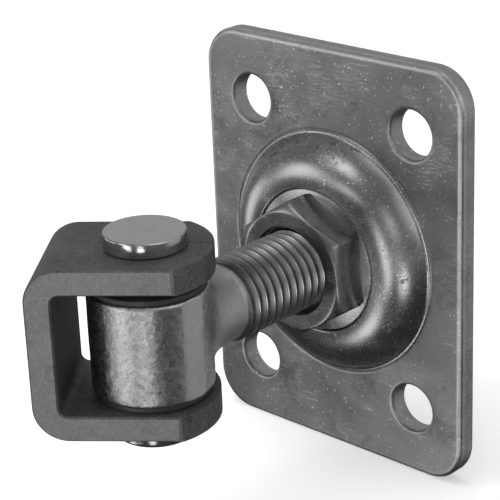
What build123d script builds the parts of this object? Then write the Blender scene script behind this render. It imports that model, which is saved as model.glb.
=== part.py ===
"""Adjustable gate hinge: pressed plate, threaded eye and a U bracket on a pin.

All sizes are in millimetres. The back of the plate lies in the plane Y = 0,
the threaded stem points along -Y and +Z is up. Pieces that are round about
the stem are drawn with their axis along +Z and turned to the front at the end.
"""
import math
import os

from build123d import *

# Plate
PLATE_WIDTH = 80.0
PLATE_HEIGHT = 104.0
PLATE_THICKNESS = 5.0
PLATE_CORNER_R = 10.0
PLATE_FRONT_EDGE = 1.2
PLATE_BACK_EDGE = 0.4
HOLE_DIAMETER = 12.0
HOLE_SPACING_X = 50.0
HOLE_SPACING_Z = 70.0

# Dome pressed in the middle of the plate, heights measured from the back plane
DOME_FOOT_R = 31.4
DOME_FOOT_EASE = 1.1
DOME_CREST_HEIGHT = 11.8
DOME_CREST_ROUND = 0.5
DOME_SEAT_HEIGHT = 6.4
DOME_SHEET = 4.0

# Thread and nuts
THREAD_DIAMETER = 20.0
NUT_ACROSS_FLATS = 30.0
NUT_CHAMFER_R = 14.7
SEAM_CHAMFER_R = 16.3
NUT_SEAT_WIDTH = 0.65
NUT_SEAT_SLOPE = 50.0
NUT_MOUTH_R = 11.2
NUT_REST_ANGLE = 4.0
ADJUSTING_HEX_HEIGHT = 4.9
LOCK_NUT_HEIGHT = 8.8
NUT_NECK_R = 13.25
NUT_TAIL_R = 12.2
COLLAR_R = 17.4
COLLAR_THICKNESS = 1.8

# Threaded eye
PIN_REACH = 66.5
STEM_END_HEIGHT = 1.0
STEM_END_CHAMFER = 1.5
THREAD_RUNOUT_HEIGHT = 44.5
NECK_R = 9.25
ROOT_R = 11.0
ROOT_HEIGHT = 46.5
ROOT_SINK = 4.0
BARREL_R = 14.0
BARREL_HEIGHT = 24.4
BARREL_EDGE = 0.7
TRIM_FLAT_X = 13.8

# Bushes
BUSH_WALL = 1.5
BUSH_LENGTH = 9.0
BUSH_FLANGE_R = 13.3
BUSH_FLANGE_THICKNESS = 1.2

# Bent bracket
BAR_WIDTH = 30.0
BAR_THICKNESS = 6.0
BEND_INNER_R = 2.0
WEB_REACH = 25.1
EAR_REACH = 15.15
EAR_TIP_R = 18.7
BAR_EDGE = 0.4
BRACKET_TURN = 51.8

# Hinge pin
PIN_DIAMETER = 14.0
PIN_HEAD_R = 9.35
PIN_HEAD_HEIGHT = 3.7
PIN_HEAD_UNDERCUT = 0.4
PIN_HEAD_EDGE_R = 0.6
PIN_FOOT_R = 10.0
PIN_FOOT_HEIGHT = 4.5
PIN_FOOT_EDGE = 1.0

# Clearances
RUNNING_FIT = 0.05
SEAT_GAP = 0.1
END_PLAY = 1.75
PRESSED_FIT = 0.02

# Sizes that follow
SEAT_TOP = DOME_SEAT_HEIGHT + SEAT_GAP
NUT_SEAM_HEIGHT = SEAT_TOP + ADJUSTING_HEX_HEIGHT
LOCK_NUT_TOP = NUT_SEAM_HEIGHT + LOCK_NUT_HEIGHT
NUT_CORNER_R = NUT_ACROSS_FLATS / 2 / math.cos(math.pi / 6)
NUT_SEAT_R = NUT_NECK_R + NUT_SEAT_WIDTH
STEM_R = THREAD_DIAMETER / 2 - RUNNING_FIT
EAR_GAP = BARREL_HEIGHT + 2 * BUSH_FLANGE_THICKNESS + 2 * SEAT_GAP + END_PLAY
BRACKET_HEIGHT = EAR_GAP + 2 * BAR_THICKNESS
BRACKET_LIFT = END_PLAY / 2
PIN_R = PIN_DIAMETER / 2
BUSH_BORE_R = PIN_R + RUNNING_FIT
BUSH_R = BUSH_BORE_R + BUSH_WALL


def to_front(shape):
    """Turn a shape drawn along +Z so that it points along -Y."""
    return Rot(90, 0, 0) * shape


def to_pin(shape):
    """Move a shape drawn about the Z axis onto the hinge pin's axis."""
    return Pos(0, -PIN_REACH, 0) * shape


def turned(points):
    """Revolve a closed outline of (radius, height) points about the Z axis."""
    outline = make_face(Plane.XZ * Polyline(*points, close=True))
    return revolve(outline, axis=Axis.Z)


def eased(before, corner, after, radius, cuts=3):
    """Points of a corner's round between two straight runs, followed in a few cuts."""
    before, corner, after = Vector(*before), Vector(*corner), Vector(*after)
    back, on = (before - corner).normalized(), (after - corner).normalized()
    half = math.radians(back.get_angle(on)) / 2
    centre = corner + (back + on).normalized() * (radius / math.sin(half))
    first = corner + back * (radius / math.tan(half)) - centre
    last = corner + on * (radius / math.tan(half)) - centre
    points = []
    for cut in range(cuts + 1):
        toward = first + (last - first) * (cut / cuts)
        point = centre + toward.normalized() * radius
        points.append((point.X, point.Y))
    return points


def ring(inner_r, outer_r, low, high):
    """A plain ring between two heights."""
    return turned([(inner_r, low), (outer_r, low), (outer_r, high), (inner_r, high)])


def plate_sheet():
    """The flat sheet with its edges broken and its four fixing holes."""
    blank = extrude(RectangleRounded(PLATE_WIDTH, PLATE_HEIGHT, PLATE_CORNER_R), PLATE_THICKNESS)
    blank = chamfer(blank.faces().sort_by(Axis.Z)[-1].edges(), PLATE_FRONT_EDGE)
    blank = chamfer(blank.faces().sort_by(Axis.Z)[0].edges(), PLATE_BACK_EDGE)
    for place in GridLocations(HOLE_SPACING_X, HOLE_SPACING_Z, 2, 2):
        blank -= place * Cylinder(HOLE_DIAMETER / 2, 3 * PLATE_THICKNESS)
    return blank


def arc(centre, radius, first, last, cuts):
    """Points along an arc between two angles, counted outwards from the axis's direction."""
    points = []
    for cut in range(cuts + 1):
        lean = first + (last - first) * cut / cuts
        points.append((centre[0] + radius * math.sin(lean), centre[1] + radius * math.cos(lean)))
    return points


def dome_shell():
    """The pressed ring: a wall in one sweep, a crest, and a cone in which the nut turns."""
    hole_r = NUT_NECK_R + RUNNING_FIT
    lean = math.radians(NUT_SEAT_SLOPE)
    crest_drop = DOME_CREST_ROUND * (1 - math.cos(lean))
    cone_top_r = NUT_SEAT_R + (DOME_CREST_HEIGHT - crest_drop - DOME_SEAT_HEIGHT) / math.tan(lean)
    crest_r = cone_top_r + DOME_CREST_ROUND * math.sin(lean)
    crest = arc((crest_r, DOME_CREST_HEIGHT - DOME_CREST_ROUND), DOME_CREST_ROUND, 0, -lean, 2)

    wall_width = DOME_FOOT_R - DOME_FOOT_EASE - crest_r
    rise = DOME_CREST_HEIGHT - PLATE_THICKNESS
    wall_round = (wall_width ** 2 + rise ** 2) / (2 * rise)
    wall_lean = math.asin(wall_width / wall_round)
    centre = (crest_r, DOME_CREST_HEIGHT - wall_round)
    wall = arc(centre, wall_round, wall_lean, 0, 6)
    sheet_edge = (DOME_FOOT_R + DOME_SHEET, PLATE_THICKNESS)
    foot = eased(sheet_edge, wall[0], wall[1], DOME_FOOT_EASE / math.tan(wall_lean / 2), 2)

    seat_back = DOME_SEAT_HEIGHT - DOME_SHEET
    hollow_r = NUT_SEAT_R + DOME_SHEET * math.tan(lean / 2)
    hollow_round = wall_round - DOME_SHEET
    beside_cone = (NUT_SEAT_R - crest_r) * math.sin(lean) + (centre[1] - DOME_SEAT_HEIGHT) * math.cos(lean)
    hollow_lean = math.acos((-DOME_SHEET - beside_cone) / hollow_round) - lean
    mouth_lean = math.acos(-centre[1] / hollow_round)
    hollow = arc(centre, hollow_round, hollow_lean, mouth_lean, 3)
    return turned([
        sheet_edge, *foot, *wall[1:], *crest[1:],
        (NUT_SEAT_R, DOME_SEAT_HEIGHT), (hole_r, DOME_SEAT_HEIGHT), (hole_r, seat_back),
        (hollow_r, seat_back), *hollow, (DOME_FOOT_R + DOME_SHEET, 0),
    ])


def make_backplate():
    """Sheet and dome as one pressing."""
    sheet = plate_sheet() - Cylinder(DOME_FOOT_R + DOME_SHEET, 3 * PLATE_THICKNESS)
    return to_front(sheet + dome_shell())


def hexagon(low, high, front_r, back_r=None, back_slope=30):
    """A hexagon bar between two heights, its ends turned back by a cone from a radius."""
    outer_r = NUT_CORNER_R + 0.1
    front_fall, back_rise = math.tan(math.radians(30)), math.tan(math.radians(back_slope))
    flat = RegularPolygon(NUT_ACROSS_FLATS / 2, 6, major_radius=False)
    bar = Pos(0, 0, low) * Rot(0, 0, 30 + NUT_REST_ANGLE) * extrude(flat, high - low)
    cone_front = turned([
        (0, low - 1), (outer_r, low - 1), (outer_r, high - (outer_r - front_r) * front_fall),
        (front_r, high), (0, high),
    ])
    if back_r:
        bar &= turned([
            (0, low), (back_r, low), (outer_r, low + (outer_r - back_r) * back_rise),
            (outer_r, high + outer_r), (0, high + outer_r),
        ])
    return bar & cone_front


def threaded_bore(low, high, mouth_r):
    """The nut's bore, countersunk at its front end as far as mouth_r."""
    bore_r = THREAD_DIAMETER / 2
    return turned([
        (0, low - 1), (bore_r, low - 1), (bore_r, high - (mouth_r - bore_r)),
        (mouth_r, high), (mouth_r, high + 1), (0, high + 1),
    ])


def make_adjusting_nut():
    """Hexagon in front of the plate, neck through it and a tail for the collar."""
    collar_top = DOME_SEAT_HEIGHT - DOME_SHEET - SEAT_GAP
    collar_low = collar_top - COLLAR_THICKNESS
    neck = ring(0, NUT_NECK_R, collar_top, NUT_SEAM_HEIGHT)
    tail = ring(0, NUT_TAIL_R, collar_low, SEAT_TOP)
    nut = hexagon(SEAT_TOP, NUT_SEAM_HEIGHT, SEAM_CHAMFER_R, NUT_SEAT_R, NUT_SEAT_SLOPE) + neck + tail
    nut -= Cylinder(THREAD_DIAMETER / 2, 3 * NUT_SEAM_HEIGHT)
    return to_front(nut)


def make_retaining_collar():
    """Ring pressed on the nut's tail, so that the nut can't leave the plate."""
    high = DOME_SEAT_HEIGHT - DOME_SHEET - SEAT_GAP
    low = high - COLLAR_THICKNESS
    collar = ring(NUT_TAIL_R + PRESSED_FIT, COLLAR_R, low, high)
    return to_front(collar)


def make_lock_nut():
    """Hexagon nut that jams against the adjusting nut."""
    nut = hexagon(NUT_SEAM_HEIGHT, LOCK_NUT_TOP, NUT_CHAMFER_R, SEAM_CHAMFER_R)
    nut -= threaded_bore(NUT_SEAM_HEIGHT, LOCK_NUT_TOP, NUT_MOUTH_R)
    return to_front(nut)


def make_eye_stem():
    """Barrel and stem forged in one, with the thread's outer cylinder."""
    barrel = Cylinder(BARREL_R, BARREL_HEIGHT)
    barrel = Rot(90, 0, 0) * chamfer(barrel.edges().filter_by(GeomType.CIRCLE), BARREL_EDGE)
    trimmed = Box(2 * TRIM_FLAT_X, BARREL_HEIGHT + 2, 2 * BARREL_R + 2)
    barrel = Pos(0, 0, PIN_REACH) * (barrel & trimmed)
    stem = turned([
        (0, STEM_END_HEIGHT), (STEM_R - STEM_END_CHAMFER, STEM_END_HEIGHT),
        (STEM_R, STEM_END_HEIGHT + STEM_END_CHAMFER),
        (STEM_R, THREAD_RUNOUT_HEIGHT), (NECK_R, THREAD_RUNOUT_HEIGHT),
        (NECK_R, ROOT_HEIGHT), (ROOT_R, PIN_REACH - BARREL_R + ROOT_SINK),
        (ROOT_R, PIN_REACH), (0, PIN_REACH),
    ])
    eye = barrel + stem
    bore = Rot(90, 0, 0) * Cylinder(BUSH_R + PRESSED_FIT, 2 * BARREL_HEIGHT)
    eye -= Pos(0, 0, PIN_REACH) * bore
    return to_front(eye)


def make_bush(side):
    """Flanged bush; side is 1 for the upper and -1 for the lower one."""
    face = BARREL_HEIGHT / 2
    bush = turned([
        (BUSH_BORE_R, face - BUSH_LENGTH), (BUSH_R, face - BUSH_LENGTH),
        (BUSH_R, face), (BUSH_FLANGE_R, face),
        (BUSH_FLANGE_R, face + BUSH_FLANGE_THICKNESS),
        (BUSH_BORE_R, face + BUSH_FLANGE_THICKNESS),
    ])
    if side < 0:
        bush = Rot(180, 0, 0) * bush
    return to_pin(bush)


def make_bracket():
    """Flat bar bent to a U, the ends of its ears rounded."""
    outer_r = BEND_INNER_R + BAR_THICKNESS
    outer = Pos((EAR_REACH - WEB_REACH) / 2, 0) * Rectangle(EAR_REACH + WEB_REACH, BRACKET_HEIGHT)
    outer = fillet([v for v in outer.vertices() if v.X < 0], outer_r)
    inner_reach = WEB_REACH - BAR_THICKNESS
    inner = Pos((2 * EAR_REACH - inner_reach) / 2, 0) * Rectangle(2 * EAR_REACH + inner_reach, EAR_GAP)
    inner = fillet([v for v in inner.vertices() if v.X < 0], BEND_INNER_R)
    bar = extrude(Plane.XZ * (outer - inner), BAR_WIDTH / 2, both=True)
    tip_centre = EAR_REACH - EAR_TIP_R
    straight = Pos(tip_centre - WEB_REACH, 0) * Rectangle(2 * WEB_REACH, 2 * BAR_WIDTH)
    plan = straight + Pos(tip_centre, 0) * Circle(EAR_TIP_R)
    bar &= extrude(plan, BRACKET_HEIGHT, both=True)
    sides = bar.faces().sort_by(Axis.Y)
    bar = chamfer(sides[0].edges() + sides[-1].edges(), BAR_EDGE)
    bar -= Cylinder(PIN_R + PRESSED_FIT, 2 * BRACKET_HEIGHT)
    return to_pin(Pos(0, 0, BRACKET_LIFT) * Rot(0, 0, 90 - BRACKET_TURN) * bar)


def make_hinge_pin():
    """Pin with a flat head on the upper ear and a formed foot under the lower."""
    top = BRACKET_HEIGHT / 2
    foot = -top - PIN_FOOT_HEIGHT
    pin = turned([
        (0, top + PIN_HEAD_HEIGHT), (PIN_HEAD_R - PIN_HEAD_EDGE_R, top + PIN_HEAD_HEIGHT),
        (PIN_HEAD_R, top + PIN_HEAD_HEIGHT - PIN_HEAD_EDGE_R),
        (PIN_HEAD_R, top + PIN_HEAD_UNDERCUT), (PIN_HEAD_R - PIN_HEAD_UNDERCUT, top),
        (PIN_R, top), (PIN_R, -top), (PIN_FOOT_R, -top),
        (PIN_FOOT_R, foot + PIN_FOOT_EDGE), (PIN_FOOT_R - PIN_FOOT_EDGE, foot), (0, foot),
    ])
    return to_pin(Pos(0, 0, BRACKET_LIFT) * pin)


def main():
    os.makedirs("parts", exist_ok=True)
    pieces = {
        "backplate": make_backplate(),
        "adjusting_nut": make_adjusting_nut(),
        "retaining_collar": make_retaining_collar(),
        "lock_nut": make_lock_nut(),
        "eye_stem": make_eye_stem(),
        "upper_bush": make_bush(1),
        "lower_bush": make_bush(-1),
        "clevis": make_bracket(),
        "hinge_pin": make_hinge_pin(),
    }
    for name, shape in pieces.items():
        export_step(shape, f"parts/{name}.step")
        print(name, "volume", round(shape.volume / 1000, 2), "cm3")


main()
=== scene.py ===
# %% [markdown]
# # An adjustable gate hinge
# A pressed steel plate is bolted to a post. A nut turns in the middle of the plate and
# draws a threaded eye in or out, a second nut locks it, and a U-shaped bracket swings
# about a pin in the eye. The gate is welded to the bracket.
#
# The CAD model gives every size and every place. This lesson dresses it: it replaces the
# plain solids by meshes with eased edges and a real thread, mixes the finishes, and sets
# up a small studio. The frame is loaded first. The dressed model may not be larger than
# the solids.

# %% Load the frame
import math

import bmesh
import bpy
from mathutils import Matrix, Vector, noise


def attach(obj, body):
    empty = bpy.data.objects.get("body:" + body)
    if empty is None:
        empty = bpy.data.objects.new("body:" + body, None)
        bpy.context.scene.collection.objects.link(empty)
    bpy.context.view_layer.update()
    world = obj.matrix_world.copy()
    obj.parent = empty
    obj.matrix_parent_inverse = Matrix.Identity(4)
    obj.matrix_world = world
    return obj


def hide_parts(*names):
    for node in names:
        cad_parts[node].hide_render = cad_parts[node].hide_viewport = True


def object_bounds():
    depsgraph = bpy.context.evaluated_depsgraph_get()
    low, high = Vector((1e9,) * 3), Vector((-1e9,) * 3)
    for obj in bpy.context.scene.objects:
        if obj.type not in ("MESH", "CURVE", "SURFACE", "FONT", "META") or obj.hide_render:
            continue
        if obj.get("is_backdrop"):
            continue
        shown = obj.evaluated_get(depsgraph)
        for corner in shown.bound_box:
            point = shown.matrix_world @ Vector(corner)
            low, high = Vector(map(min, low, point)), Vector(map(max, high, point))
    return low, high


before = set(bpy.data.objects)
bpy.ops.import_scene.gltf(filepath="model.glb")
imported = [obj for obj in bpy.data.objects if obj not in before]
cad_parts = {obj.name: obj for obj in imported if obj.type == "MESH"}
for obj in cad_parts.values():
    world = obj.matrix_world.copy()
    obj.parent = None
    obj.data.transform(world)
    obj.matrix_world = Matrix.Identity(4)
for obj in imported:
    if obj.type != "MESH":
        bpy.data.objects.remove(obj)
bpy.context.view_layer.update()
MM = 0.001
print("nodes:", sorted(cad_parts))

# %% [markdown]
# ## The camera
# The photograph was measured first: the plate's corners, its four holes, the nuts and the
# pin gave the place of the lens, its direction and its focal length in pixels. A camera
# could be placed by eye, but every highlight on polished metal depends on the exact angle,
# so the measured one is written down here. It stands high on the right, quite far
# away, which is why the plate's edges are nearly parallel in the picture.

# %% Camera
FRAME_PX = 500
FOCAL_PX = 1807.6
VIEW_AZIMUTH, VIEW_ELEVATION, VIEW_ROLL = 43.94, 21.66, -2.36
AIM = Vector((0, -30, 0))
AIM_PX = (261.86, 283.28)
AIM_DISTANCE = 428.3
SENSOR_MM = 36


def measured_camera():
    """Camera whose picture of AIM falls on AIM_PX, from the measured direction."""
    azimuth, elevation, roll = (math.radians(a) for a in (VIEW_AZIMUTH, VIEW_ELEVATION, VIEW_ROLL))
    back = Vector((math.sin(azimuth) * math.cos(elevation),
                   -math.cos(azimuth) * math.cos(elevation), math.sin(elevation)))
    level = Vector((math.cos(azimuth), math.sin(azimuth), 0))
    above = back.cross(level)
    right = level * math.cos(roll) + above * math.sin(roll)
    up = above * math.cos(roll) - level * math.sin(roll)
    off_x, off_y = (p - FRAME_PX / 2 for p in AIM_PX)
    look = -back + right * (off_x / FOCAL_PX) - up * (off_y / FOCAL_PX)
    camera = bpy.data.objects.new("camera", bpy.data.cameras.new("camera"))
    camera.matrix_world = Matrix((right, up, back)).transposed().to_4x4()
    camera.location = (AIM - look * AIM_DISTANCE) * MM
    camera.data.sensor_width = SENSOR_MM
    camera.data.lens = FOCAL_PX * SENSOR_MM / FRAME_PX
    camera.data.clip_start, camera.data.clip_end = 0.01, 20
    bpy.context.scene.collection.objects.link(camera)
    bpy.context.scene.camera = camera
    return camera


camera = measured_camera()
print("lens", round(camera.data.lens, 1), "mm, stands at", [round(c, 3) for c in camera.location])

# %% [markdown]
# ## Shader sums as plain Python
# A finish is a sum of patterns: grain plus scratches, times a mask. Wiring each Math node
# by hand hides the sum, so a small class wraps a socket and gives it the arithmetic signs.
# `1 - mask` then adds the Math node by itself. Everything that isn't a sum comes from one
# method, `node`, which takes the node's type, its settings and what goes into its sockets.

# %% Wired values and finishes
class Wired:
    """An output socket in a finish, with the signs of arithmetic."""

    def __init__(self, finish, socket):
        self.finish, self.socket = finish, socket

    def math(self, operation, *others, clamp=False):
        values = dict(enumerate((self, *others)))
        settings = {"operation": operation, "use_clamp": clamp}
        return self.finish.node("ShaderNodeMath", settings, values)

    def reflected(self, operation, other):
        return self.finish.node("ShaderNodeMath", {"operation": operation}, {0: other, 1: self})

    def __add__(self, other):
        return self.math("ADD", other)

    def __sub__(self, other):
        return self.math("SUBTRACT", other)

    def __mul__(self, other):
        return self.math("MULTIPLY", other)

    def __truediv__(self, other):
        return self.math("DIVIDE", other)

    def __pow__(self, other):
        return self.math("POWER", other)

    def __rsub__(self, other):
        return self.reflected("SUBTRACT", other)

    def __abs__(self):
        return self.math("ABSOLUTE")

    __radd__, __rmul__ = __add__, __mul__

    def step(self, low, high):
        """0 below low, 1 above high and smooth between; low may be the larger one."""
        settings = {"interpolation_type": "SMOOTHSTEP"}
        values = {"Value": self, "From Min": low, "From Max": high}
        return self.finish.node("ShaderNodeMapRange", settings, values)


class Finish:
    """A material with its node tree. Constants are set on the shader's own sockets."""

    def __init__(self, name, constants):
        self.material = bpy.data.materials.new(name)
        self.material.use_nodes = True
        self.tree = self.material.node_tree
        self.shader = self.tree.nodes["Principled BSDF"]
        for socket, value in constants.items():
            self.shader.inputs[socket].default_value = value

    def node(self, kind, settings=None, values=None, output=0):
        made = self.tree.nodes.new(kind)
        for key, value in (settings or {}).items():
            setattr(made, key, value)
        for key, value in (values or {}).items():
            self.join(value, made.inputs[key])
        return Wired(self, made.outputs[output])

    def join(self, value, socket):
        if isinstance(value, Wired):
            self.tree.links.new(value.socket, socket)
        else:
            socket.default_value = value

    def feed(self, socket, value):
        self.join(value, self.shader.inputs[socket])


print("shader sums ready")

# %% [markdown]
# ## Patterns that metal shares
# All patterns read the piece's own coordinates in millimetres, so that a grain of half a
# millimetre is written as 0.5 and stays on the piece when the hinge moves. Plated steel
# shows four things at this distance: cloudy stains, a fine grain, tiny bright pits, and
# hair scratches that run any way. Scratches are noise that is stretched
# along one direction and cut to the thin line where it crosses its middle value.

# %% Patterns
def millimetres(finish):
    """The piece's own coordinates, in millimetres."""
    place = finish.node("ShaderNodeTexCoord", output="Object")
    return finish.node("ShaderNodeVectorMath", {"operation": "SCALE"}, {0: place, "Scale": 1 / MM})


def cloud(finish, place, size, detail=3.0, rough=0.55, twist=0.0):
    """Noise whose blobs are about size millimetres wide."""
    values = {"Vector": place, "Scale": 1 / size, "Detail": detail, "Roughness": rough,
              "Distortion": twist}
    return finish.node("ShaderNodeTexNoise", {}, values)


def pits(finish, place, spacing, reach, share):
    """Round specks: one cell in so many carries a speck of the given reach."""
    values = {"Vector": place, "Scale": 1 / spacing, "Randomness": 1.0}
    distance = finish.node("ShaderNodeTexVoronoi", {}, values, "Distance")
    tint = finish.node("ShaderNodeTexVoronoi", {}, values, "Color")
    chance = finish.node("ShaderNodeSeparateXYZ", {}, {0: tint}, "X")
    return distance.step(reach, reach * 0.4) * chance.step(share, share * 0.9)


def scratches(finish, place, turn, length, width, share):
    """Hair lines along one direction, present over about the given share of the surface."""
    settings = {"vector_type": "POINT"}
    values = {"Vector": place, "Rotation": turn, "Scale": (1 / length, 1 / width, 1 / width)}
    drawn = finish.node("ShaderNodeMapping", settings, values)
    line = abs(cloud(finish, drawn, 1.0, 1.0) - 0.5).step(0.012, 0.0)
    patch = cloud(finish, place, length * 0.9, 1.0).step(0.66 - share * 0.3, 0.72 - share * 0.3)
    return line * patch


def radius_from(first, second, centre=0.0):
    """Distance from an axis, out of the two coordinates across it."""
    shifted = second - centre
    return (first * first + shifted * shifted) ** 0.5


def dot(finish, vector, direction):
    """How far a vector points along a fixed direction."""
    settings = {"operation": "DOT_PRODUCT"}
    return finish.node("ShaderNodeVectorMath", settings, {0: vector, 1: direction}, "Value")


def relief(finish, height, depth_mm, strength=1.0):
    """Feed a height between 0 and 1 to the shader's Normal, depth_mm deep."""
    values = {"Height": height, "Distance": depth_mm * MM, "Strength": strength}
    finish.feed("Normal", finish.node("ShaderNodeBump", {}, values, "Normal"))


def grey(finish, level):
    """A neutral colour out of one number."""
    return finish.node("ShaderNodeCombineXYZ", {}, {"X": level, "Y": level, "Z": level * 1.01})


print("patterns ready")

# %% [markdown]
# ## Zinc plate
# The plate is rolled sheet with bright zinc on it. The flat parts are satin, grey and a
# little cloudy, with specks and hair scratches. The pressed ring was stretched over a die,
# so it is much shinier there, and the stretched zinc broke up into dark spangles on the
# outer slope. One material does both: the distance from the stem says which part it is.

# %% Zinc plate finish
def zinc_plate():
    finish = Finish("zinc_plate", {"Metallic": 1.0})
    place = millimetres(finish)
    x, y, z = (finish.node("ShaderNodeSeparateXYZ", {}, {0: place}, k) for k in "XYZ")
    radius = radius_from(x, z)
    ring = radius.step(32.2, 30.6) * radius.step(12.0, 16.0)
    slope = radius.step(24.5, 26.5) * radius.step(31.0, 29.8)
    stain = cloud(finish, place, 16, 3, 0.6)
    grain = cloud(finish, place, 0.5, 3, 0.7)
    spangle = cloud(finish, place, 1.5, 4, 0.75, 0.6).step(0.5, 0.62)
    patch = cloud(finish, place, 9, 2).step(0.42, 0.6)
    smear = cloud(finish, place, 11, 4, 0.7, 0.5).step(0.52, 0.68)
    # edge: the rolled front edge is painted lighter, partly rubbed wear and partly a painted
    # highlight along its rounding
    edge = (abs(x).step(38.2, 39.0) + abs(z).step(50.2, 51.0)) * y.step(-3.2, -4.2)
    speck = (pits(finish, place, 1.3, 0.22, 0.4) + pits(finish, place, 0.7, 0.26, 0.2)
             + pits(finish, place, 3.1, 0.12, 0.5))
    hair = (scratches(finish, place, (0, 0.6, 0), 9, 0.5, 0.4)
            + scratches(finish, place, (0, -0.9, 0), 14, 0.7, 0.3))
    dark = spangle * patch * slope
    level = (0.4 + (stain - 0.5) * 0.3 + (grain - 0.5) * 0.22 + speck * 0.4 + hair * 0.25
             - dark * 0.22 - smear * 0.1 * (1 - ring) + edge * 0.15)
    finish.feed("Base Color", grey(finish, level))
    rough = (0.38 - ring * 0.12 + (stain - 0.5) * 0.16 + (grain - 0.5) * 0.12
             + dark * 0.2 + speck * 0.1)
    finish.feed("Roughness", rough)
    wave = cloud(finish, place, 7, 2)
    height = (grain * 0.25 + wave * 0.9 * (1 - ring) + wave * 0.3
              + cloud(finish, place, 0.9, 2) * 0.25 - speck * 0.4 - hair * 0.3 - dark * 0.4)
    relief(finish, height, 0.05, 0.7)
    return finish.material


# %% [markdown]
# ## Nuts, thread, forging, pin
# The four other plated parts differ in how they were made. The nuts are cold pressed and
# nearly mirror-smooth. The thread was rolled; its crests are painted lighter as a painted
# highlight, and its grooves are painted darker as painted shade. The barrel is a forging, so
# its skin is crinkled under the zinc, apart from a smooth strip on each side where the flash
# was trimmed off. The pin was turned, so its rim shines and its top is a light satin with a
# scratch.

# %% Finishes of the plated parts
PIN_REACH = 66.5


def zinc_nut():
    finish = Finish("zinc_nut", {"Metallic": 1.0})
    place = millimetres(finish)
    stain = cloud(finish, place, 6, 3, 0.6)
    grain = cloud(finish, place, 0.35, 2, 0.6)
    drawn = (scratches(finish, place, (0, 0, 0.05), 7, 0.35, 0.7)
             + scratches(finish, place, (0.5, 0.9, 0.7), 8, 0.5, 0.4))
    speck = pits(finish, place, 1.3, 0.14, 0.25)
    level = 0.34 + (stain - 0.5) * 0.16 + (grain - 0.5) * 0.05 + drawn * 0.2 + speck * 0.3
    finish.feed("Base Color", grey(finish, level))
    finish.feed("Roughness", 0.2 + stain * 0.12 + drawn * 0.1)
    relief(finish, cloud(finish, place, 3.5, 2) * 0.8 + grain * 0.1 - drawn * 0.25, 0.04, 0.6)
    return finish.material


def rolled_thread():
    finish = Finish("rolled_thread", {"Metallic": 1.0})
    place = millimetres(finish)
    x, y, z = (finish.node("ShaderNodeSeparateXYZ", {}, {0: place}, k) for k in "XYZ")
    radius = radius_from(x, z)
    # shaded_groove: the grooves are painted darker, a painted shade in the recess
    shaded_groove = radius.step(9.5, 8.75)
    grain = cloud(finish, place, 0.6, 3, 0.6)
    worn = cloud(finish, place, 3, 2)
    # crest: the crests are painted lighter, a painted highlight along each crest
    crest = radius.step(9.8, 9.88)
    level = 0.36 - shaded_groove * 0.2 + (grain - 0.5) * 0.16 + (worn - 0.5) * 0.14 + crest * 0.2
    finish.feed("Base Color", grey(finish, level))
    finish.feed("Roughness", 0.4 + shaded_groove * 0.1 + (grain - 0.5) * 0.12 - crest * 0.15)
    relief(finish, grain * 0.4 + worn * 0.6, 0.03, 0.6)
    return finish.material


def zinc_forging():
    finish = Finish("zinc_forging", {"Metallic": 1.0})
    place = millimetres(finish)
    x, y, z = (finish.node("ShaderNodeSeparateXYZ", {}, {0: place}, k) for k in "XYZ")
    trimmed = abs(x).step(13.62, 13.78)
    neck = y.step(-56.5, -53.0)
    crinkle = cloud(finish, place, 1.5, 5, 0.68, 0.5)
    fine = cloud(finish, place, 0.45, 3, 0.7)
    stain = cloud(finish, place, 7, 3, 0.6)
    speck = pits(finish, place, 1.1, 0.17, 0.3)
    level = 0.5 + (stain - 0.5) * 0.2 + (crinkle - 0.5) * 0.3 + speck * 0.3 + trimmed * 0.06
    finish.feed("Base Color", grey(finish, level))
    finish.feed("Roughness", 0.27 + (crinkle - 0.5) * 0.25 + trimmed * 0.12 + neck * 0.08)
    calm = 1 - trimmed * 0.8 - neck * 0.6
    relief(finish, (crinkle + fine * 0.35 + speck * 0.2) * calm, 0.16, 0.8)
    return finish.material


def turned_pin():
    finish = Finish("turned_pin", {"Metallic": 1.0})
    place = millimetres(finish)
    x, y, z = (finish.node("ShaderNodeSeparateXYZ", {}, {0: place}, k) for k in "XYZ")
    radius = radius_from(x, y, -PIN_REACH)
    top = radius.step(9.1, 8.7) * z.step(24.6, 24.85)
    turned = finish.node("ShaderNodeCombineXYZ", {}, {"X": radius * 2.5, "Y": z * 2.5})
    rings = cloud(finish, turned, 1.0, 2)
    stain = cloud(finish, place, 4, 3, 0.6)
    grain = cloud(finish, place, 0.4, 2)
    line = abs((y + PIN_REACH) * 0.35 + (x + 1.5) * 0.94 - 2.5).step(0.12, 0.0)
    cut = line * abs(y + PIN_REACH - x * 0.4).step(3.2, 2.6)
    level = (0.52 + (stain - 0.5) * 0.14 + (grain - 0.5) * 0.08 + (rings - 0.5) * 0.08
             + top * 0.06 - cut * top * 0.3)
    finish.feed("Base Color", grey(finish, level))
    finish.feed("Roughness", 0.15 + top * 0.22 + (stain - 0.5) * 0.1)
    wave = cloud(finish, place, 2.5, 2)
    relief(finish, rings * 0.4 + grain * 0.3 + wave * 0.6 - cut * top * 0.5, 0.05, 0.6)
    return finish.material


# %% [markdown]
# ## Raw steel and the black bushes
# The bracket has to be welded, so it carries no zinc: it is bare rolled bar with a dark,
# dry mill skin on the wide faces. The bar's two narrow edges were sheared and are lighter.
# The edges are found by the surface's direction in the bracket's own axes. The bushes are
# black and matt, and little more of them shows than a dark line round the eye.

# %% Raw steel and black finishes
BRACKET_TURN = math.radians(51.8)


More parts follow.
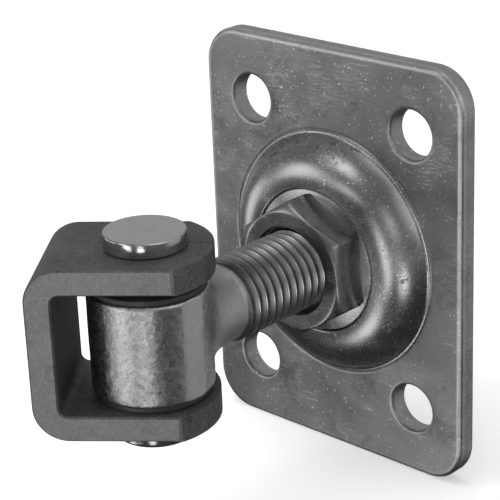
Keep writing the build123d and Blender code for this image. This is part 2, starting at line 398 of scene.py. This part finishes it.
def raw_steel():
    finish = Finish("raw_steel", {"Metallic": 0.75})
    place = millimetres(finish)
    normal = finish.node("ShaderNodeTexCoord", output="Normal")
    across = (math.cos(BRACKET_TURN), -math.sin(BRACKET_TURN), 0)
    facing = dot(finish, normal, across)
    sheared = abs(facing).step(0.9, 0.98)
    grain = cloud(finish, place, 0.45, 4, 0.8)
    sand = cloud(finish, place, 1.1, 3, 0.7)
    stain = cloud(finish, place, 9, 3, 0.6)
    smudge = cloud(finish, place, 4, 3, 0.6, 0.4).step(0.56, 0.7)
    speck = pits(finish, place, 0.9, 0.2, 0.25)
    level = (0.115 + sheared * 0.13 + (grain - 0.5) * 0.3 + (sand - 0.5) * 0.12
             + (stain - 0.5) * 0.07 + speck * 0.14 - smudge * 0.03)
    finish.feed("Base Color", grey(finish, level))
    finish.feed("Roughness", 0.56 + (grain - 0.5) * 0.25 - sheared * 0.06)
    relief(finish, grain * 0.8 + sand * 0.8 - speck * 0.2, 0.14, 0.9)
    return finish.material


def black_bush():
    finish = Finish("black_bush", {"Metallic": 0.0})
    place = millimetres(finish)
    grain = cloud(finish, place, 0.4, 3, 0.7)
    dust = cloud(finish, place, 5, 3).step(0.5, 0.75)
    finish.feed("Base Color", grey(finish, 0.018 + grain * 0.012 + dust * 0.02))
    finish.feed("Roughness", 0.55 + (grain - 0.5) * 0.3)
    relief(finish, grain, 0.02, 0.6)
    return finish.material


FINISHES = {make.__name__: make() for make in
            (zinc_plate, zinc_nut, rolled_thread, zinc_forging, turned_pin, raw_steel, black_bush)}
print("finishes:", ", ".join(FINISHES))

# %% [markdown]
# ## Tools for the meshes
# Nearly every piece here is round about the stem or about the pin. Blender's Screw or Spin
# would turn a profile too, but the nuts, the thread and the eye are only nearly round, so
# one plain tool does all of them: it skins a list of rings, and each piece says where the
# points of its rings lie. `eased` rounds the corners of a profile, because a real edge is
# never sharp, and the highlight on it is what makes metal look solid.

# %% Mesh tools
def about_stem(radius, angle, height):
    """A point round the stem, height measured out from the plate's back."""
    return Vector((radius * math.cos(angle), -height, radius * math.sin(angle))) * MM


def about_pin(radius, angle, height):
    """A point round the hinge pin."""
    return Vector((radius * math.cos(angle), radius * math.sin(angle) - PIN_REACH, height)) * MM


def turns(steps):
    return [2 * math.pi * k / steps for k in range(steps)]


def skin(rings, closed=True):
    """Points and quads through rings that have the same number of points."""
    count = len(rings[0])
    faces = []
    for i in range(len(rings) if closed else len(rings) - 1):
        a, b = i * count, (i + 1) % len(rings) * count
        faces += [(a + k, a + (k + 1) % count, b + (k + 1) % count, b + k) for k in range(count)]
    return [p for ring in rings for p in ring], faces


def eased(outline, rounds, cuts=6):
    """A closed outline with some corners rounded, given as {corner: radius}."""
    corners = [Vector(p) for p in outline]
    points = []
    for i, corner in enumerate(corners):
        if i not in rounds:
            points.append(tuple(corner))
            continue
        back = (corners[i - 1] - corner).normalized()
        on = (corners[(i + 1) % len(corners)] - corner).normalized()
        half = back.angle(on) / 2
        centre = corner + (back + on).normalized() * (rounds[i] / math.sin(half))
        first = corner + back * (rounds[i] / math.tan(half)) - centre
        sign = -1 if back.x * on.y - back.y * on.x > 0 else 1
        for k in range(cuts + 1):
            angle = sign * (math.pi - 2 * half) * k / cuts
            c, s = math.cos(angle), math.sin(angle)
            points.append((centre.x + c * first.x - s * first.y,
                           centre.y + s * first.x + c * first.y))
    return points


def lathe(profile, place, steps=144):
    """A closed profile of (radius, height) points turned about an axis."""
    return skin([[place(r, a, h) for a in turns(steps)] for r, h in profile])


def make_piece(name, shapes, body, finishes, stands_for, sharp=32):
    """Join shapes to one mesh piece: (points, faces) pairs, one finish for each or for all."""
    solid = bmesh.new()
    for number, (points, faces) in enumerate(shapes):
        made = [solid.verts.new(p) for p in points]
        for face in faces:
            corners = [made[k] for k in face]
            if len({tuple(round(c, 9) for c in v.co) for v in corners}) > 2:
                solid.faces.new(corners).material_index = min(number, len(finishes) - 1)
    bmesh.ops.remove_doubles(solid, verts=solid.verts, dist=2e-6)
    bmesh.ops.recalc_face_normals(solid, faces=solid.faces)
    mesh = bpy.data.meshes.new(name)
    solid.to_mesh(mesh)
    solid.free()
    for finish in finishes:
        mesh.materials.append(FINISHES[finish])
    mesh.shade_smooth()
    mesh.set_sharp_from_angle(angle=math.radians(sharp))
    piece = bpy.data.objects.new(name, mesh)
    bpy.context.scene.collection.objects.link(piece)
    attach(piece, body)
    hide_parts(stands_for)
    print(name, len(mesh.polygons), "faces")
    return piece


# %% [markdown]
# ## The plate
# The sheet is stamped: its front edge is rolled over by the tool, a fine shear line runs
# round the side, and the four holes have soft rims. Each outline, the plate's own and
# each hole's, becomes a wall of rings, and the flat faces between the walls are
# filled in afterwards. The pressed ring is a profile turned about the stem, with a narrow
# step at its foot, one round wall that rises to the crest, and a cone for the nut.

# %% The plate's sheet
PLATE_W, PLATE_H, PLATE_R = 80.0, 104.0, 10.0
HOLE_R, HOLE_X, HOLE_Z = 6.0, 25.0, 35.0
FOOT_R, MOUTH_R = 31.4, 27.88
HOLE_STEPS, FOOT_STEPS = 56, 144
SIDE = [(1.5, 5.0), (1.0, 4.95), (0.6, 4.82), (0.28, 4.56), (0.08, 4.2), (0, 3.8), (0, 2.75),
        (0.1, 2.6), (0.1, 2.45), (0.02, 2.3), (0.02, 0.5), (0.14, 0.15), (0.4, 0)]
RIM = [(1.1, 5.0), (0.7, 4.95), (0.38, 4.82), (0.14, 4.56), (0, 4.1), (0, 0.4), (0.12, 0.12),
       (0.4, 0)]
FOOT = [(0.45, 5.0), (0.2, 4.94), (0, 4.75), (0, 2.5), (MOUTH_R - FOOT_R, 0)]


def rounded_rectangle(inset, cuts=12):
    """The plate's outline, moved in by inset."""
    radius = PLATE_R - inset
    points = []
    for number, (sx, sz) in enumerate(((1, 1), (-1, 1), (-1, -1), (1, -1))):
        for k in range(cuts + 1):
            angle = math.pi / 2 * (number + k / cuts)
            points.append((sx * (PLATE_W / 2 - PLATE_R) + radius * math.cos(angle),
                           sz * (PLATE_H / 2 - PLATE_R) + radius * math.sin(angle)))
    return points


def circle(x, z, radius, steps):
    return [(x + radius * math.cos(a), z + radius * math.sin(a)) for a in turns(steps)]


def round_loop(x, z, radius, steps):
    """A circle as wall wants it, by how far it is moved out."""
    return lambda inset: circle(x, z, radius + inset, steps)


def wall(outline, profile):
    """Rings that follow an outline through the sheet: outline(inset) at each depth."""
    rings = [[Vector((x, -depth, z)) * MM for x, z in outline(inset)] for inset, depth in profile]
    return skin(rings, closed=False)


def filled(points, depth):
    """Triangles over the flat face at a depth, between loops of (x, z) points."""
    flat = bmesh.new()
    for loop in points:
        made = [flat.verts.new(Vector((x, -depth, z)) * MM) for x, z in loop]
        for k, v in enumerate(made):
            flat.edges.new((v, made[(k + 1) % len(made)]))
    bmesh.ops.triangle_fill(flat, edges=flat.edges, use_beauty=True, normal=(0, -1, 0))
    flat.verts.index_update()
    shape = [v.co.copy() for v in flat.verts], [tuple(v.index for v in f.verts) for f in flat.faces]
    flat.free()
    return shape


def sheet_shapes():
    holes = [(sx * HOLE_X, sz * HOLE_Z) for sx in (-1, 1) for sz in (-1, 1)]
    shapes = [wall(rounded_rectangle, SIDE), wall(round_loop(0, 0, FOOT_R, FOOT_STEPS), FOOT)]
    shapes += [wall(round_loop(x, z, HOLE_R, HOLE_STEPS), RIM) for x, z in holes]
    for end in (0, -1):
        loops = [rounded_rectangle(SIDE[end][0]), circle(0, 0, FOOT_R + FOOT[end][0], FOOT_STEPS)]
        loops += [circle(x, z, HOLE_R + RIM[end][0], HOLE_STEPS) for x, z in holes]
        shapes.append(filled(loops, SIDE[end][1]))
    return shapes


# %% The pressed ring
CREST_RING_R, CREST_HEIGHT, CREST_ROUND = 18.66, 11.8, 0.5
WALL_ROUND, WALL_LEAN, CONE_LEAN = 13.355, 56, 50
SEAT_HEIGHT, SEAT_END_R, PLATE_BORE_R = 6.4, 13.9, 13.4
HOLLOW_R, HOLLOW_LEANS, SHEET = 15.77, (9.4, 79), 4.0


def sweep(radius, first, last, cuts):
    """An arc that touches the crest, between two angles in degrees from straight outwards."""
    leans = (math.radians(first + (last - first) * k / cuts) for k in range(cuts + 1))
    return [(CREST_RING_R + radius * math.sin(a), CREST_HEIGHT + radius * (math.cos(a) - 1))
            for a in leans]


def ring_profile():
    """Groove, foot, wall, crest, the cone that the nut turns in, and the hollow behind."""
    foot = [(FOOT_R, 4.78), (31.2, 4.78), (30.95, 5.0), (30.25, 5.0)]
    crest = sweep(CREST_ROUND, 0, -CONE_LEAN, 8)[1:]
    front = [*foot, *sweep(WALL_ROUND, WALL_LEAN, 0, 26), *crest]
    seat = [(SEAT_END_R, SEAT_HEIGHT), (PLATE_BORE_R, SEAT_HEIGHT),
            (PLATE_BORE_R, SEAT_HEIGHT - SHEET)]
    hollow = [(r, h - SHEET) for r, h in sweep(WALL_ROUND - SHEET, *HOLLOW_LEANS, 12)]
    outline = [*front, *seat, (HOLLOW_R, SEAT_HEIGHT - SHEET), *hollow, (FOOT_R, 0.1)]
    return eased(outline, {3: 1.1, len(front) + 1: 0.15}, 8)


plate = make_piece("pressed_plate", [*sheet_shapes(), lathe(ring_profile(), about_stem)],
                   "plate", ["zinc_plate"], "backplate", 40)
plate.modifiers.new("flat_faces", "WEIGHTED_NORMAL").keep_sharp = True

# %% [markdown]
# ## The nuts
# A hexagon nut is a hexagonal bar cut by a cone at its ends, which leaves the curved
# bright lines on the flats. Cutting a bar with a cone by a Boolean would work but leaves
# ragged edges. Here every ring of the nut runs at the same angles: the height of the
# chamfer is worked out from how far the hexagon stands out at each angle, so the curved
# lines come out exact, and two more rings ease each edge.
#
# Only the front nut shows flats in the photograph. Behind the seam a smooth surface runs
# on to the ring's crest without a gap, so the rear nut is drawn as a round shoulder that
# fills the cone, although its solid is a hexagon there.

# %% Nuts
ACROSS_FLATS, CHAMFER_R, NUT_TURN = 30.0, 14.7, math.radians(34)
SEAM_CHAMFER_R, SEAT_CHAMFER_R = 16.3, 13.9
SEAT_TOP, SEAM, NUT_TOP = 6.5, 11.4, 20.2
SLOPE, SEAT_SLOPE = math.tan(math.radians(30)), math.tan(math.radians(CONE_LEAN))
NUT_BORE, NUT_MOUTH, FACE_R = 10.05, 11.2, 14.4
NECK = [(13.3, 6.5), (13.25, 6.3), (13.25, 2.3)]
TAIL = [(12.2, 2.3), (12.2, 0.75), (11.9, 0.5), (10.6, 0.5), (NUT_BORE, 0.9)]


def hexagon_rays(corner_r=0.9, cuts=18):
    """(radius, angle) round a hexagon whose corners are eased."""
    corner = ACROSS_FLATS / 2 / math.cos(math.pi / 6)
    outline = [(corner * math.cos(a), corner * math.sin(a)) for a in turns(6)]
    rounded = [Vector(p) for p in eased(outline, {k: corner_r for k in range(6)}, 6)]
    rays = []
    for k, point in enumerate(rounded):
        after = rounded[(k + 1) % len(rounded)]
        pieces = cuts if (after - point).length > 3 else 1
        for j in range(pieces):
            p = point.lerp(after, j / pieces)
            rays.append((p.length, math.atan2(p.y, p.x) + NUT_TURN))
    return rays


RAYS = hexagon_rays()


def at_radius(radius, height):
    return [about_stem(radius, a, height) for r, a in RAYS]


def end_rings(height, out, cone_r):
    """Rings from the end face to the flats. out is 1 for the front end, -1 for the back.
    The cone cuts off what stands out past cone_r, all round or at the corners alone."""
    inner = min(cone_r, FACE_R)

    def cone(r):
        return height - out * max(0.0, r - cone_r) * SLOPE

    rings = [at_radius(inner - 0.4, height), at_radius(inner, height)]
    if cone_r < ACROSS_FLATS / 2:
        rings[-1] = at_radius(cone_r - 0.08, height - out * 0.02)
        rings.append([about_stem(cone_r + min(0.12, (r - cone_r) / 3), a, cone(cone_r + 0.13))
                      for r, a in RAYS])
    else:
        rings.append([about_stem(min(r - 0.15, cone_r - 0.05), a, height) for r, a in RAYS])
    for inward, down in ((0.1, 0.0), (0.03, 0.04), (0.0, 0.12)):
        rings.append([about_stem(r - inward, a, cone(r - inward) - out * down) for r, a in RAYS])
    return rings


def front_nut():
    rings = [at_radius(NUT_BORE, SEAM), at_radius(NUT_BORE, NUT_TOP - 1.3),
             at_radius(NUT_MOUTH, NUT_TOP - 0.12), at_radius(NUT_MOUTH + 0.15, NUT_TOP)]
    rings += end_rings(NUT_TOP, 1, CHAMFER_R)
    rings += end_rings(SEAM, -1, SEAM_CHAMFER_R)[::-1]
    return skin(rings)


def rear_nut():
    rim = SEAM - 0.1
    shoulder_r = SEAT_CHAMFER_R + (rim - SEAT_TOP) / SEAT_SLOPE
    shoulder = [(NUT_BORE, SEAM), (shoulder_r - 0.15, SEAM), (shoulder_r, rim),
                (SEAT_CHAMFER_R, SEAT_TOP)]
    return skin([at_radius(r, h) for r, h in [*shoulder, *NECK, *TAIL]])


make_piece("front_lock_nut", [front_nut()], "nuts", ["zinc_nut"], "lock_nut", 38)
make_piece("turning_nut", [rear_nut()], "nuts", ["zinc_nut"], "adjusting_nut", 38)

# %% [markdown]
# ## The threaded eye
# A thread is a ring profile that climbs one pitch in each turn. The mesh follows that
# climb: its rows are the helical lines of crest, flank and root, so that the edges of the
# crests stay crisp with only eight rows to a turn. At the ends the rows are held
# back to the stem's end face and to the runout, where the groove fades into the neck.
# The neck then swells into the barrel, and its last row lies just under the
# barrel's surface, wherever the barrel is at that angle.

# %% Thread and neck
PITCH, CREST_R, NECK_R = 2.5, 9.93, 9.25
STEM_END, RUNOUT, NECK_END = 1.0, 44.5, 46.5
BARREL_R, SWELL, FLARE = 14.0, 0.9, 1.6
THREAD = [(0.0, 0.06), (0.02, 0.0), (0.1, 0.0), (0.12, 0.06),
          (0.42, 1.34), (0.47, 1.43), (0.65, 1.43), (0.7, 1.34)]
END_CHAMFER = 1.6
TURNS_ROUND = 144


def smooth(t):
    t = min(1.0, max(0.0, t))
    return t * t * (3 - 2 * t)


def thread_point(angle, climb, drop):
    """A point of the thread: climb in pitches from the stem's end, drop below the crest."""
    height = STEM_END + PITCH * (climb - 1 + angle / (2 * math.pi))
    radius = CREST_R - drop
    radius = NECK_R + (radius - NECK_R) * smooth((RUNOUT - height) / 1.3)
    height = min(RUNOUT, max(STEM_END, height))
    return about_stem(min(radius, CREST_R - END_CHAMFER + height - STEM_END), angle, height)


def open_grid(lines):
    """Points and quads through lines of points that don't close."""
    count = len(lines[0])
    faces = [(i * count + k, i * count + k + 1, (i + 1) * count + k + 1, (i + 1) * count + k)
             for i in range(len(lines) - 1) for k in range(count - 1)]
    return [p for line in lines for p in line], faces


def thread_grid():
    rows = math.ceil((RUNOUT - STEM_END) / PITCH) + 2
    angles = [2 * math.pi * k / TURNS_ROUND for k in range(TURNS_ROUND + 1)]
    return open_grid([[thread_point(a, turn + share, drop) for a in angles]
                      for turn in range(rows) for share, drop in THREAD])


def barrel_front(x):
    """How far out from the plate the barrel's surface lies at x."""
    return PIN_REACH - math.sqrt(BARREL_R ** 2 - x ** 2)


def neck_point(angle, share):
    """From the runout at share 0 to just inside the barrel at share 1."""
    swell = SWELL * share ** 1.3 + FLARE * share ** 5
    foot = (NECK_R + SWELL + FLARE) * math.cos(angle)
    end = barrel_front(foot) + 0.12
    return about_stem(NECK_R + swell, angle, NECK_END + (end - NECK_END) * share)


def neck_shape():
    rings = [[about_stem(NECK_R, a, h) for a in turns(TURNS_ROUND)] for h in (RUNOUT, RUNOUT + 0.8)]
    shares = (0, 0.25, 0.5, 0.65, 0.75, 0.83, 0.89, 0.94, 0.97, 1.0)
    rings += [[neck_point(a, s) for a in turns(TURNS_ROUND)] for s in shares]
    return skin(rings, closed=False)


def end_face():
    radii = (0.0, 4.0, CREST_R - END_CHAMFER)
    rings = [[about_stem(r, a, STEM_END) for a in turns(TURNS_ROUND)] for r in radii]
    return skin(rings, closed=False)


# %% [markdown]
# The barrel is a cylinder about the pin with a flat trimmed off each side. The forge left
# its surface a little wavy. Bump alone would keep the outline of the highlights too
# straight, so the points themselves are moved by a twentieth of a millimetre with
# Blender's own noise, and the shader adds the finer crinkle.

# %% Barrel
BARREL_TOP, BARREL_EDGE, TRIM_X, EYE_BORE = 12.2, 0.9, 13.8, 8.57


def barrel_profile(rows=56, edge=BARREL_EDGE):
    straight = 2 * BARREL_TOP - 2 * edge
    heights = [-BARREL_TOP + edge + straight * k / rows for k in range(rows + 1)]
    lower = [(BARREL_R - edge + edge * math.sin(a), -BARREL_TOP + edge - edge * math.cos(a))
             for a in (math.pi / 2 * k / 6 for k in range(6))]
    upper = [(r, -h) for r, h in reversed(lower)]
    return [(EYE_BORE, -BARREL_TOP), *lower, *[(BARREL_R, h) for h in heights], *upper,
            (EYE_BORE, BARREL_TOP)]


def barrel_point(radius, angle, height):
    """A point of the barrel, inside its flats and never outside its plain round."""
    side = TRIM_X / max(abs(math.cos(angle)), 0.1)
    wavy = 0.0
    if radius > EYE_BORE + 1 and side > BARREL_R + 0.02:
        at = Vector((math.cos(angle) * BARREL_R, math.sin(angle) * BARREL_R, height))
        broad, narrow = noise.noise(at * 0.22) - 0.3, noise.noise(at * 0.75) - 0.3
        wavy = 0.07 * broad + 0.045 * narrow
    return about_pin(min(radius + min(wavy, 0.0), side), angle, height)


def barrel_shape(steps=360):
    return skin([[barrel_point(r, a, h) for a in turns(steps)] for r, h in barrel_profile()])


make_piece("threaded_eye", [thread_grid(), end_face(), neck_shape(), barrel_shape()],
           "stem", ["rolled_thread", "rolled_thread", "zinc_forging"],
           "eye_stem", 34)

# %% [markdown]
# ## Bushes, pin and collar
# These are plain turned parts, so each is one profile. The pin's head has a broad
# flat top and a rounded rim, and its foot under the bracket is a little wider. The upper
# bush's flange leaves an open gap under the ear, which is dark in the photograph.

# %% Turned parts
EAR_TOP, EAR_LOW = 21.25, -19.5
HEAD_R, SHANK_R, PIN_FOOT_R = 9.35, 7, 10
HEAD_TOP, PIN_FOOT_LOW = EAR_TOP + 3.7, EAR_LOW - 4.5
BUSH_BORE, SLEEVE_R, SLEEVE_LOW = 7.06, 8.54, 3.2
FLANGE_R, FLANGE_TOP = 13.3, 13.4
COLLAR_BORE, COLLAR_R, COLLAR_LOW, COLLAR_TOP = 12.22, 17.4, 0.5, 2.3


def bush_profile(side):
    outline = [(BUSH_BORE, SLEEVE_LOW), (SLEEVE_R, SLEEVE_LOW), (SLEEVE_R, BARREL_TOP),
               (FLANGE_R, BARREL_TOP), (FLANGE_R, FLANGE_TOP), (BUSH_BORE, FLANGE_TOP)]
    return [(r, side * h) for r, h in eased(outline, {3: 0.15, 4: 0.3, 5: 0.2}, 4)]


def pin_profile():
    head = [(0, HEAD_TOP), (HEAD_R, HEAD_TOP), (HEAD_R, EAR_TOP + 0.4), (HEAD_R - 0.4, EAR_TOP)]
    shank = [(SHANK_R, EAR_TOP), (SHANK_R, EAR_LOW)]
    foot = [(PIN_FOOT_R, EAR_LOW), (PIN_FOOT_R, PIN_FOOT_LOW + 1), (PIN_FOOT_R - 1, PIN_FOOT_LOW),
            (0, PIN_FOOT_LOW)]
    return eased([*head, *shank, *foot], {1: 0.4, 2: 0.2, 7: 0.3, 8: 0.5}, 6)


def collar_profile():
    outline = [(COLLAR_BORE, COLLAR_LOW), (COLLAR_R, COLLAR_LOW), (COLLAR_R, COLLAR_TOP),
               (COLLAR_BORE, COLLAR_TOP)]
    return eased(outline, {1: 0.35, 2: 0.35}, 4)


for name, side, node in (("bush_above", 1, "upper_bush"), ("bush_below", -1, "lower_bush")):
    make_piece(name, [lathe(bush_profile(side), about_pin)],
               "stem", ["black_bush"], node)
make_piece("headed_pin", [lathe(pin_profile(), about_pin)],
           "bracket", ["turned_pin"], "hinge_pin")
make_piece("pressed_collar", [lathe(collar_profile(), about_stem)],
           "nuts", ["zinc_nut"], "retaining_collar")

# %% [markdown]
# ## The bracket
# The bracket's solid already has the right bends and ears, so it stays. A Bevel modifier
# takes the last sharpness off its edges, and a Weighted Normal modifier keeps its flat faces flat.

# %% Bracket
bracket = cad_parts["clevis"]
bracket.data.materials.clear()
bracket.data.materials.append(FINISHES["raw_steel"])
softened = bracket.modifiers.new("softened_edges", "BEVEL")
softened.width, softened.segments, softened.limit_method = 0.25 * MM, 2, "ANGLE"
softened.angle_limit = math.radians(28)
bracket.modifiers.new("flat_faces", "WEIGHTED_NORMAL").keep_sharp = True

# %% [markdown]
# ## The studio
# Polished metal is a picture of the room. The photograph's highlights say where the room
# is bright, once they are traced back over the known surface. A large ball round the
# hinge carries the bright places as plain glows, and only reflections see it. Five of
# them stand in a loop about the direction that the flat plate mirrors, because that is
# where the crest of the pressed ring looks, and they draw its bright line. Three area
# lamps light the matt parts. The floor is pale and keeps the shadow, and the backdrop
# is white.

# %% Backdrop
def world_light():
    world = bpy.data.worlds.new("white_backdrop")
    world.use_nodes = True
    tree = world.node_tree
    paths = tree.nodes.new("ShaderNodeLightPath")
    seen = None
    for kind in ("Is Camera Ray", "Is Glossy Ray", "Is Transmission Ray"):
        if seen is None:
            seen = paths.outputs[kind]
            continue
        most = tree.nodes.new("ShaderNodeMath")
        most.operation = "MAXIMUM"
        tree.links.new(seen, most.inputs[0])
        tree.links.new(paths.outputs[kind], most.inputs[1])
        seen = most.outputs[0]
    tint = tree.nodes.new("ShaderNodeMix")
    tint.data_type = "RGBA"
    tint.inputs["A"].default_value = (0.55, 0.55, 0.55, 1)
    tint.inputs["B"].default_value = (1, 1, 1, 1)
    tree.links.new(seen, tint.inputs["Factor"])
    tree.links.new(tint.outputs["Result"], tree.nodes["Background"].inputs["Color"])
    bpy.context.scene.world = world


world_light()

# %% Soft boxes that the metal reflects
# Each glow: direction from the hinge, spread in degrees, strength.
WALL_GLOWS = [((0.50, -0.78, -0.37), 8, 2.6), ((0.40, -0.86, 0.24), 7, 1.0),
              ((-0.28, -0.69, 0.64), 9, 2.0), ((-0.93, -0.31, -0.21), 9, 1.5)]
PLATE_GLOWS = [((-0.46, -0.80, -0.37), 7, 0.4)]
CREST_GLOWS = [((-0.30, -0.95, 0.08), 8, 1.6), ((-0.03, -0.95, -0.30), 8, 2.2),
               ((-0.12, -0.98, -0.10), 8, 1.6), ((-0.70, -0.70, 0.12), 9, 1.8),
               ((-0.30, -0.72, -0.62), 8, 2.2)]
CEILING_GLOWS = [((0.18, 0.00, 0.98), 20, 0.6), ((0.80, -0.18, 0.58), 20, 0.6),
                 ((0.94, 0.13, 0.33), 20, 0.4)]
FAR_GLOWS = [((-0.645, 0.66, 0.38), 34, 0.2), ((0.645, 0.67, -0.37), 26, 0.3),
             ((0.37, 0.67, 0.64), 30, 0.2)]
GLOWS = WALL_GLOWS + PLATE_GLOWS + CREST_GLOWS + CEILING_GLOWS + FAR_GLOWS
ROOM_LEVEL, GROUND_LEVEL = 0.24, 0.05
ROOM_RADIUS = 2.0


def glow(finish, away, direction, spread):
    """1 in the middle of a glow, 0 outside it, over the directions away from the hinge."""
    rim, core = (math.cos(math.radians(spread * part)) for part in (1.5, 0.6))
    return dot(finish, away, tuple(Vector(direction).normalized())).step(rim, core)


def reflected_room():
    ball = bpy.data.meshes.new("room")
    solid = bmesh.new()
    bmesh.ops.create_icosphere(solid, subdivisions=4, radius=ROOM_RADIUS)
    solid.to_mesh(ball)
    solid.free()
    room = bpy.data.objects.new("room", ball)
    bpy.context.scene.collection.objects.link(room)
    finish = Finish("room_glow", {"Roughness": 1.0, "Specular IOR Level": 0.0,
                                  "Emission Strength": 1.0, "Base Color": (0, 0, 0, 1)})
    place = finish.node("ShaderNodeTexCoord", output="Object")
    away = finish.node("ShaderNodeVectorMath", {"operation": "NORMALIZE"}, {0: place}, "Vector")
    height = finish.node("ShaderNodeSeparateXYZ", {}, {0: away}, "Z")
    level = GROUND_LEVEL + height.step(-0.6, 0.1) * (ROOM_LEVEL - GROUND_LEVEL)
    for direction, spread, strength in GLOWS:
        level = level + glow(finish, away, direction, spread) * strength
    finish.feed("Emission Color", grey(finish, level))
    ball.materials.append(finish.material)
    room.visible_camera = room.visible_diffuse = room.visible_shadow = False
    room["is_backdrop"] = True
    return room


reflected_room()
print(len(GLOWS), "glows in the reflected room")

# %% Lamps for the matt parts
def soft_box(name, direction, distance, size, power):
    lamp = bpy.data.lights.new(name, "AREA")
    lamp.shape, lamp.size, lamp.energy = "DISK", size, power
    holder = bpy.data.objects.new(name, lamp)
    away = Vector(direction).normalized()
    holder.location = AIM * MM + away * distance
    holder.rotation_mode = "QUATERNION"
    holder.rotation_quaternion = away.to_track_quat("Z", "Y")
    holder.visible_glossy = False
    bpy.context.scene.collection.objects.link(holder)


soft_box("box_left", (-0.55, -0.75, 0.35), 0.8, 0.5, 4.0)
soft_box("box_front", (0.6, -0.85, 0.25), 0.8, 0.4, 2.0)
soft_box("box_above", (-0.2, -0.1, 1.0), 0.9, 0.7, 3.0)

# %% Floor
FLOOR_HALF, FLOOR_GAP = 3.0, 0.0002


def pale_floor():
    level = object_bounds()[0].z - FLOOR_GAP
    signs = ((-1, -1), (1, -1), (1, 1), (-1, 1))
    corners = [(x * FLOOR_HALF, y * FLOOR_HALF, level) for x, y in signs]
    mesh = bpy.data.meshes.new("floor")
    mesh.from_pydata(corners, [], [(0, 1, 2, 3)])
    floor = bpy.data.objects.new("floor", mesh)
    bpy.context.scene.collection.objects.link(floor)
    finish = Finish("pale_floor", {"Base Color": (0.9, 0.9, 0.9, 1), "Roughness": 0.9,
                                   "Specular IOR Level": 0.0, "Emission Strength": 1.0})
    seen = finish.node("ShaderNodeLightPath", output="Is Camera Ray")
    finish.feed("Emission Color", grey(finish, seen * 0.25))
    mesh.materials.append(finish.material)
    floor.visible_glossy = False
    floor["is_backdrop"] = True


pale_floor()
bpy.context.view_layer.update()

# %% [markdown]
# ## Finish
# The colours are shown as they are written.

# %% Close the frame
bpy.context.scene.view_settings.view_transform = "Standard"
